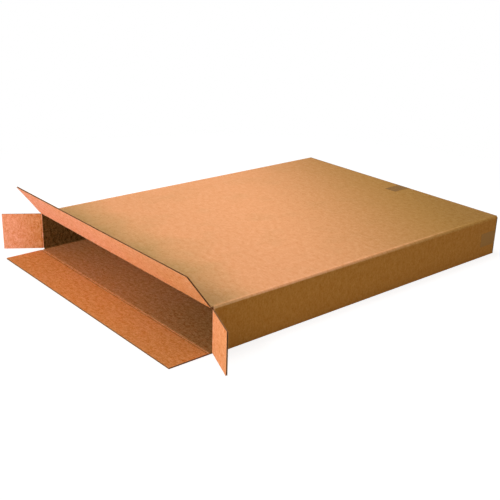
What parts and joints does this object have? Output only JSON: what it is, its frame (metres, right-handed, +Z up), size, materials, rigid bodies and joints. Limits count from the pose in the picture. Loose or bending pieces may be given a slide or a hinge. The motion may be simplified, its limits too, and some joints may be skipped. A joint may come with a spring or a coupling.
{
  "type": "corrugated carton",
  "caption": "Shallow single-wall corrugated carton lying on its large face, far end folded and taped shut, near end open with hinged flaps out.",
  "frame": {"origin": "middle of the base panel's underside, on the surface that the carton lies on", "axes": "+Z up, -Y out of the open end, +X along the opening, to the right when looking in from behind the open end along +Y"},
  "size_m": [1.1089, 1.3716, 0.2377],
  "materials": {
    "board": "kraft liner, matt",
    "flap_board": "kraft liner inside face, matt",
    "tape": "tan packing tape, satin"
  },
  "bodies": {
    "carton": {"box_body": "board", "top_tape": "tape", "left_side_tape": "tape", "right_side_tape": "tape"},
    "top_flap": {"top_flap": "flap_board"},
    "bottom_flap": {"bottom_flap": "flap_board"},
    "left_side_flap": {"left_side_flap": "flap_board"},
    "right_side_flap": {"right_side_flap": "flap_board"}
  },
  "joints": [
    {"name": "top_flap_fold", "type": "hinge", "parent": "carton", "child": "top_flap", "pos_m": [0, -0.6179, 0.135], "axis": [-1, 0, 0], "range_deg": [-144, 121]},
    {"name": "bottom_flap_fold", "type": "hinge", "parent": "carton", "child": "bottom_flap", "pos_m": [0, -0.6222, 0], "axis": [1, 0, 0], "range_deg": [-90, 175]},
    {"name": "left_side_flap_fold", "type": "hinge", "parent": "carton", "child": "left_side_flap", "pos_m": [-0.4612, -0.6136, 0.0675], "axis": [0, 0, -1], "range_deg": [-123, 142]},
    {"name": "right_side_flap_fold", "type": "hinge", "parent": "carton", "child": "right_side_flap", "pos_m": [0.4612, -0.6136, 0.0675], "axis": [0, 0, 1], "range_deg": [-157.5, 107.5]}
  ]
}
